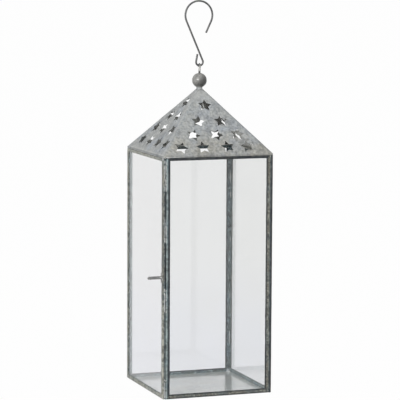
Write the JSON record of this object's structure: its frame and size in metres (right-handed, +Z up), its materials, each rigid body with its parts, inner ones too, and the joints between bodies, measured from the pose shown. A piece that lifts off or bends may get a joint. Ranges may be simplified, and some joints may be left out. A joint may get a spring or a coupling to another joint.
{
  "type": "punched tin lantern",
  "caption": "Square glass-sided tin lantern with a hinged side door and wire pull, a pyramid roof punched with stars, a ball finial, and a wire S-hook to hang it by.",
  "frame": {"origin": "centre of the floor sheet's underside, where the lantern stands", "axes": "+Z up through the finial, -Y out of the front pane, -X out of the door"},
  "size_m": [0.1251, 0.1133, 0.3748],
  "materials": {
    "roof_tin": "dull mottled zinc",
    "came_tin": "dark patchy tin with solder marks",
    "floor_tin": "pale satin sheet",
    "finial_tin": "dull pewter grey",
    "wire": "dull dark wire",
    "pane_glass": "clear"
  },
  "bodies": {
    "lantern": {"front_glass": "pane_glass", "front_came_bottom": "came_tin", "front_came_right": "came_tin", "front_came_top": "came_tin", "front_came_left": "came_tin", "right_glass": "pane_glass", "right_came_bottom": "came_tin", "right_came_back": "came_tin", "right_came_top": "came_tin", "right_came_front": "came_tin", "back_glass": "pane_glass", "back_came_bottom": "came_tin", "back_came_left": "came_tin", "back_came_top": "came_tin", "back_came_right": "came_tin", "base_plate": "floor_tin", "roof": "roof_tin", "finial_collar": "finial_tin", "finial_ball": "finial_tin", "hanging_eye": "wire", "hinge_lower_fixed_leaf": "came_tin", "hinge_lower_pin": "wire", "hinge_upper_fixed_leaf": "came_tin", "hinge_upper_pin": "wire"},
    "door": {"door_glass": "pane_glass", "door_came_bottom": "came_tin", "door_came_front": "came_tin", "door_came_top": "came_tin", "door_came_back": "came_tin", "door_pull": "wire", "hinge_lower_door_leaf": "came_tin", "hinge_upper_door_leaf": "came_tin"},
    "hook": {"s_hook": "wire"}
  },
  "joints": [
    {"name": "door_swing", "type": "hinge", "parent": "lantern", "child": "door", "pos_m": [-0.0522, 0.0566, 0.1147], "axis": [0, 0, -1], "range_deg": [0, 170]},
    {"name": "hook_swing", "type": "hinge", "parent": "lantern", "child": "hook", "pos_m": [0, 0, 0.31544], "axis": [0, 1, 0], "range_deg": [-80, 80]}
  ]
}
